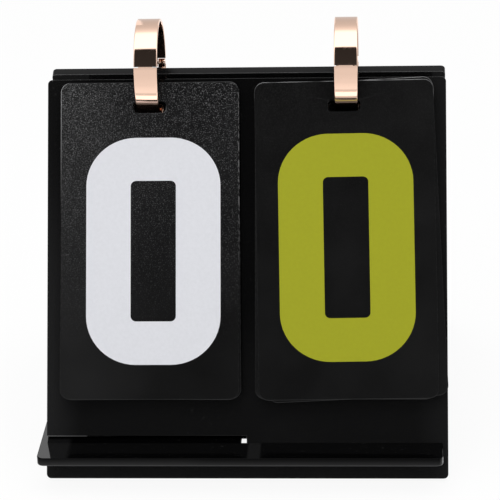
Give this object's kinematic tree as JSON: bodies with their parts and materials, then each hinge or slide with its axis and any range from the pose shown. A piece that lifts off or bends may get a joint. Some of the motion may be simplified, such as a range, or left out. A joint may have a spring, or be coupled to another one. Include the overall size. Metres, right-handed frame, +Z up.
{
  "type": "flip scoreboard",
  "caption": "Desk scoreboard: two leaning black panels on a lapped tray, with flip-over number cards hanging from metal hinged rings.",
  "frame": {"origin": "middle of the overall box, on the table that the panels' lower edges stand on", "axes": "+X to the right of a person who reads the scores, +Y away from that person, +Z up"},
  "size_m": [0.142, 0.1506, 0.1466],
  "materials": {
    "black_acrylic": "gloss",
    "black_card_sheet": "satin",
    "rose_gold": "polished"
  },
  "bodies": {
    "frame": {"front_panel": "black_acrylic", "rear_panel": "black_acrylic"},
    "tray": {"tray": "black_acrylic"},
    "left_ring": {"left_ring_lower": "rose_gold", "left_ring_pin": "rose_gold"},
    "left_ring_gate": {"left_ring_upper": "rose_gold"},
    "left_card_9": {"left_card_9": "black_card_sheet"},
    "left_card_8": {"left_card_8": "black_card_sheet"},
    "left_card_7": {"left_card_7": "black_card_sheet"},
    "left_card_6": {"left_card_6": "black_card_sheet"},
    "left_card_5": {"left_card_5": "black_card_sheet"},
    "left_card_4": {"left_card_4": "black_card_sheet"},
    "left_card_3": {"left_card_3": "black_card_sheet"},
    "left_card_2": {"left_card_2": "black_card_sheet"},
    "left_card_1": {"left_card_1": "black_card_sheet"},
    "left_card_0": {"left_card_0": "black_card_sheet"},
    "right_ring": {"right_ring_lower": "rose_gold", "right_ring_pin": "rose_gold"},
    "right_ring_gate": {"right_ring_upper": "rose_gold"},
    "right_card_9": {"right_card_9": "black_card_sheet"},
    "right_card_8": {"right_card_8": "black_card_sheet"},
    "right_card_7": {"right_card_7": "black_card_sheet"},
    "right_card_6": {"right_card_6": "black_card_sheet"},
    "right_card_5": {"right_card_5": "black_card_sheet"},
    "right_card_4": {"right_card_4": "black_card_sheet"},
    "right_card_3": {"right_card_3": "black_card_sheet"},
    "right_card_2": {"right_card_2": "black_card_sheet"},
    "right_card_1": {"right_card_1": "black_card_sheet"},
    "right_card_0": {"right_card_0": "black_card_sheet"}
  },
  "joints": [
    {"name": "tray_slide", "type": "slide", "parent": "frame", "child": "tray", "axis": [1, 0, 0], "range_m": [-0.068, 0.002]},
    {"name": "left_ring_turn", "type": "hinge", "parent": "frame", "child": "left_ring", "pos_m": [-0.0333, 0, 0.12923], "axis": [1, 0, 0], "range_deg": [-26, 210]},
    {"name": "left_ring_opening", "type": "hinge", "parent": "left_ring", "child": "left_ring_gate", "pos_m": [-0.0333, 0.01653, 0.12572], "axis": [1, 0, 0], "range_deg": [-135, 0]},
    {"name": "left_card_9_flip", "type": "hinge", "parent": "frame", "child": "left_card_9", "pos_m": [-0.0325, 0, 0.12923], "axis": [-1, 0, 0], "range_deg": [0, 180]},
    {"name": "left_card_8_flip", "type": "hinge", "parent": "left_card_9", "child": "left_card_8", "pos_m": [-0.0325, 0, 0.12923], "axis": [-1, 0, 0], "range_deg": [0, 180]},
    {"name": "left_card_7_flip", "type": "hinge", "parent": "left_card_8", "child": "left_card_7", "pos_m": [-0.0325, 0, 0.12923], "axis": [-1, 0, 0], "range_deg": [0, 180]},
    {"name": "left_card_6_flip", "type": "hinge", "parent": "left_card_7", "child": "left_card_6", "pos_m": [-0.0325, 0, 0.12923], "axis": [-1, 0, 0], "range_deg": [0, 180]},
    {"name": "left_card_5_flip", "type": "hinge", "parent": "left_card_6", "child": "left_card_5", "pos_m": [-0.0325, 0, 0.12923], "axis": [-1, 0, 0], "range_deg": [0, 180]},
    {"name": "left_card_4_flip", "type": "hinge", "parent": "left_card_5", "child": "left_card_4", "pos_m": [-0.0325, 0, 0.12923], "axis": [-1, 0, 0], "range_deg": [0, 180]},
    {"name": "left_card_3_flip", "type": "hinge", "parent": "left_card_4", "child": "left_card_3", "pos_m": [-0.0325, 0, 0.12923], "axis": [-1, 0, 0], "range_deg": [0, 180]},
    {"name": "left_card_2_flip", "type": "hinge", "parent": "left_card_3", "child": "left_card_2", "pos_m": [-0.0325, 0, 0.12923], "axis": [-1, 0, 0], "range_deg": [0, 180]},
    {"name": "left_card_1_flip", "type": "hinge", "parent": "left_card_2", "child": "left_card_1", "pos_m": [-0.0325, 0, 0.12923], "axis": [-1, 0, 0], "range_deg": [0, 180]},
    {"name": "left_card_0_flip", "type": "hinge", "parent": "left_card_1", "child": "left_card_0", "pos_m": [-0.0325, 0, 0.12923], "axis": [-1, 0, 0], "range_deg": [0, 180]},
    {"name": "right_ring_turn", "type": "hinge", "parent": "frame", "child": "right_ring", "pos_m": [0.0362, 0, 0.12923], "axis": [1, 0, 0], "range_deg": [-26, 210]},
    {"name": "right_ring_opening", "type": "hinge", "parent": "right_ring", "child": "right_ring_gate", "pos_m": [0.0362, 0.01653, 0.12572], "axis": [1, 0, 0], "range_deg": [-135, 0]},
    {"name": "right_card_9_flip", "type": "hinge", "parent": "frame", "child": "right_card_9", "pos_m": [0.0354, 0, 0.12923], "axis": [-1, 0, 0], "range_deg": [0, 180]},
    {"name": "right_card_8_flip", "type": "hinge", "parent": "right_card_9", "child": "right_card_8", "pos_m": [0.0354, 0, 0.12923], "axis": [-1, 0, 0], "range_deg": [0, 180]},
    {"name": "right_card_7_flip", "type": "hinge", "parent": "right_card_8", "child": "right_card_7", "pos_m": [0.0354, 0, 0.12923], "axis": [-1, 0, 0], "range_deg": [0, 180]},
    {"name": "right_card_6_flip", "type": "hinge", "parent": "right_card_7", "child": "right_card_6", "pos_m": [0.0354, 0, 0.12923], "axis": [-1, 0, 0], "range_deg": [0, 180]},
    {"name": "right_card_5_flip", "type": "hinge", "parent": "right_card_6", "child": "right_card_5", "pos_m": [0.0354, 0, 0.12923], "axis": [-1, 0, 0], "range_deg": [0, 180]},
    {"name": "right_card_4_flip", "type": "hinge", "parent": "right_card_5", "child": "right_card_4", "pos_m": [0.0354, 0, 0.12923], "axis": [-1, 0, 0], "range_deg": [0, 180]},
    {"name": "right_card_3_flip", "type": "hinge", "parent": "right_card_4", "child": "right_card_3", "pos_m": [0.0354, 0, 0.12923], "axis": [-1, 0, 0], "range_deg": [0, 180]},
    {"name": "right_card_2_flip", "type": "hinge", "parent": "right_card_3", "child": "right_card_2", "pos_m": [0.0354, 0, 0.12923], "axis": [-1, 0, 0], "range_deg": [0, 180]},
    {"name": "right_card_1_flip", "type": "hinge", "parent": "right_card_2", "child": "right_card_1", "pos_m": [0.0354, 0, 0.12923], "axis": [-1, 0, 0], "range_deg": [0, 180]},
    {"name": "right_card_0_flip", "type": "hinge", "parent": "right_card_1", "child": "right_card_0", "pos_m": [0.0354, 0, 0.12923], "axis": [-1, 0, 0], "range_deg": [0, 180]}
  ]
}
